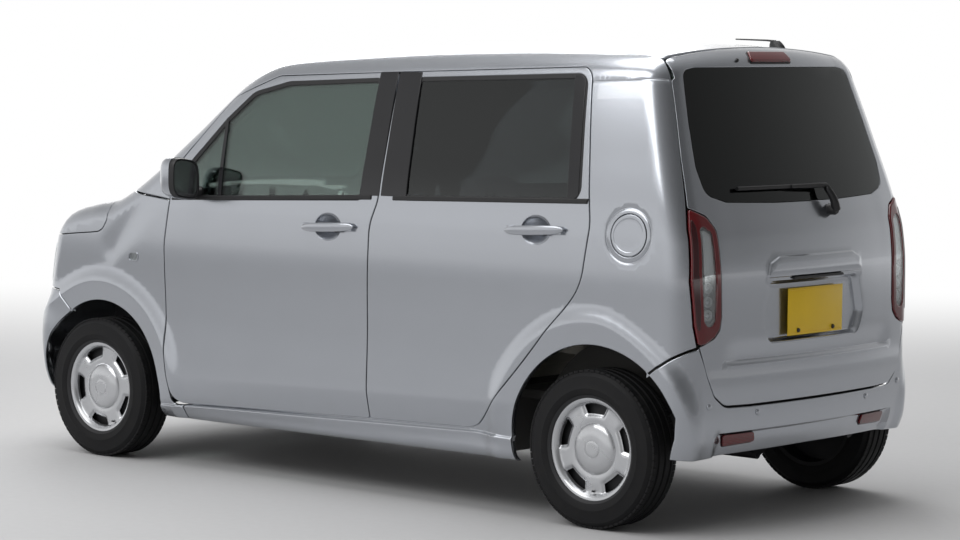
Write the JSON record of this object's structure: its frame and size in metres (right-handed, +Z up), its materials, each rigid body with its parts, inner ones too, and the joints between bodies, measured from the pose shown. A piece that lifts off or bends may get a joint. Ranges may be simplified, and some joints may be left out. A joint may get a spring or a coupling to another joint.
{
  "type": "kei_car",
  "caption": "Five-door tall kei car in silver, with opening doors, tailgate, bonnet and fuel lid, and wheels that steer and roll.",
  "frame": {"origin": "on the ground, midway along the car and on its centre line", "axes": "X points forward, Y to the car's left, Z up"},
  "size_m": [3.41, 1.79, 1.701],
  "materials": {
    "silver_paint": "light silver metallic paint",
    "black_plastic": "black plastic with a fine grain",
    "tyre_rubber": "black tyre rubber",
    "wheel_silver": "silver lacquered wheel cover",
    "dark_metal": "dark chassis metal",
    "clear_glass": "clear glass, faintly green",
    "privacy_glass": "dark tinted glass",
    "red_lens": "red lens",
    "clear_lens": "clear lens",
    "seat_fabric": "woven seat fabric",
    "interior_plastic": "dark grained plastic"
  },
  "bodies": {
    "chassis": {"body_side_left": "silver_paint", "front_fender_left": "silver_paint", "headlamp_left": "clear_lens", "tail_lamp_left": "red_lens", "seat_front_left": "seat_fabric", "body_side_right": "silver_paint", "front_fender_right": "silver_paint", "headlamp_right": "clear_lens", "tail_lamp_right": "red_lens", "seat_front_right": "seat_fabric", "roof_panel": "silver_paint", "cowl": "black_plastic", "windscreen": "clear_glass", "front_bumper": "silver_paint", "rear_bumper": "silver_paint", "antenna": "black_plastic", "floor_pan": "interior_plastic", "bulkhead": "dark_metal", "front_subframe": "dark_metal", "rear_axle": "dark_metal", "engine_block": "dark_metal", "exhaust": "dark_metal", "fuel_tank": "dark_metal", "rear_seat": "seat_fabric", "dashboard": "interior_plastic"},
    "tailgate": {"tailgate": "silver_paint", "tailgate_glass": "privacy_glass", "rear_wiper": "black_plastic"},
    "bonnet": {"bonnet": "silver_paint"},
    "fuel_lid": {"fuel_lid": "silver_paint"},
    "steering_wheel": {"steering_wheel": "black_plastic"},
    "door_front_left": {"door_front_left": "silver_paint", "door_glass_front_left": "clear_glass", "mirror_left": "silver_paint"},
    "wheel_front_left": {"tyre_front_left": "tyre_rubber", "wheel_front_left": "wheel_silver"},
    "door_rear_left": {"door_rear_left": "silver_paint", "door_glass_rear_left": "privacy_glass"},
    "wheel_rear_left": {"tyre_rear_left": "tyre_rubber", "wheel_rear_left": "wheel_silver"},
    "knuckle_left": {"front_knuckle_left": "dark_metal"},
    "door_front_right": {"door_front_right": "silver_paint", "door_glass_front_right": "clear_glass", "mirror_right": "silver_paint"},
    "wheel_front_right": {"tyre_front_right": "tyre_rubber", "wheel_front_right": "wheel_silver"},
    "door_rear_right": {"door_rear_right": "silver_paint", "door_glass_rear_right": "privacy_glass"},
    "wheel_rear_right": {"tyre_rear_right": "tyre_rubber", "wheel_rear_right": "wheel_silver"},
    "knuckle_right": {"front_knuckle_right": "dark_metal"}
  },
  "joints": [
    {"name": "door_front_left_hinge", "type": "hinge", "parent": "chassis", "child": "door_front_left", "pos_m": [0.825, 0.702, 0.68], "axis": [0, 0, 1], "range_deg": [-65, 0]},
    {"name": "door_rear_left_hinge", "type": "hinge", "parent": "chassis", "child": "door_rear_left", "pos_m": [-0.256, 0.7065, 0.68], "axis": [0, 0, 1], "range_deg": [-65, 0]},
    {"name": "steer_left", "type": "hinge", "parent": "chassis", "child": "knuckle_left", "pos_m": [1.26, 0.535, 0.27612], "axis": [0, 0, 1], "range_deg": [-30, 30]},
    {"name": "wheel_front_left_spin", "type": "hinge", "parent": "knuckle_left", "child": "wheel_front_left", "pos_m": [1.26, 0.6525, 0.27612], "axis": [0, 1, 0], "continuous": true},
    {"name": "wheel_rear_left_spin", "type": "hinge", "parent": "chassis", "child": "wheel_rear_left", "pos_m": [-1.26, 0.6525, 0.27612], "axis": [0, 1, 0], "continuous": true},
    {"name": "door_front_right_hinge", "type": "hinge", "parent": "chassis", "child": "door_front_right", "pos_m": [0.825, -0.702, 0.68], "axis": [0, 0, 1], "range_deg": [0, 65]},
    {"name": "door_rear_right_hinge", "type": "hinge", "parent": "chassis", "child": "door_rear_right", "pos_m": [-0.256, -0.7065, 0.68], "axis": [0, 0, 1], "range_deg": [0, 65]},
    {"name": "steer_right", "type": "hinge", "parent": "chassis", "child": "knuckle_right", "pos_m": [1.26, -0.535, 0.27612], "axis": [0, 0, 1], "range_deg": [-30, 30]},
    {"name": "wheel_front_right_spin", "type": "hinge", "parent": "knuckle_right", "child": "wheel_front_right", "pos_m": [1.26, -0.6525, 0.27612], "axis": [0, 1, 0], "continuous": true},
    {"name": "wheel_rear_right_spin", "type": "hinge", "parent": "chassis", "child": "wheel_rear_right", "pos_m": [-1.26, -0.6525, 0.27612], "axis": [0, 1, 0], "continuous": true},
    {"name": "steering_wheel_turn", "type": "hinge", "parent": "chassis", "child": "steering_wheel", "pos_m": [0.345, -0.33, 0.96], "axis": [-0.879, 0, 0.4768], "range_deg": [-480, 480]},
    {"name": "tailgate_hinge", "type": "hinge", "parent": "chassis", "child": "tailgate", "pos_m": [-1.365, 0, 1.63], "axis": [0, 1, 0], "range_deg": [0, 80]},
    {"name": "bonnet_hinge", "type": "hinge", "parent": "chassis", "child": "bonnet", "pos_m": [1.21, 0, 0.965], "axis": [0, 1, 0], "range_deg": [-50, 0]},
    {"name": "fuel_lid_hinge", "type": "hinge", "parent": "chassis", "child": "fuel_lid", "pos_m": [-1.312, 0.7, 1.02], "axis": [0, 0, 1], "range_deg": [-90, 0]}
  ],
  "couplings": [
    {"joint": "steer_right", "follows": "steer_left", "ratio": 1},
    {"joint": "steering_wheel_turn", "follows": "steer_left", "ratio": 16}
  ]
}
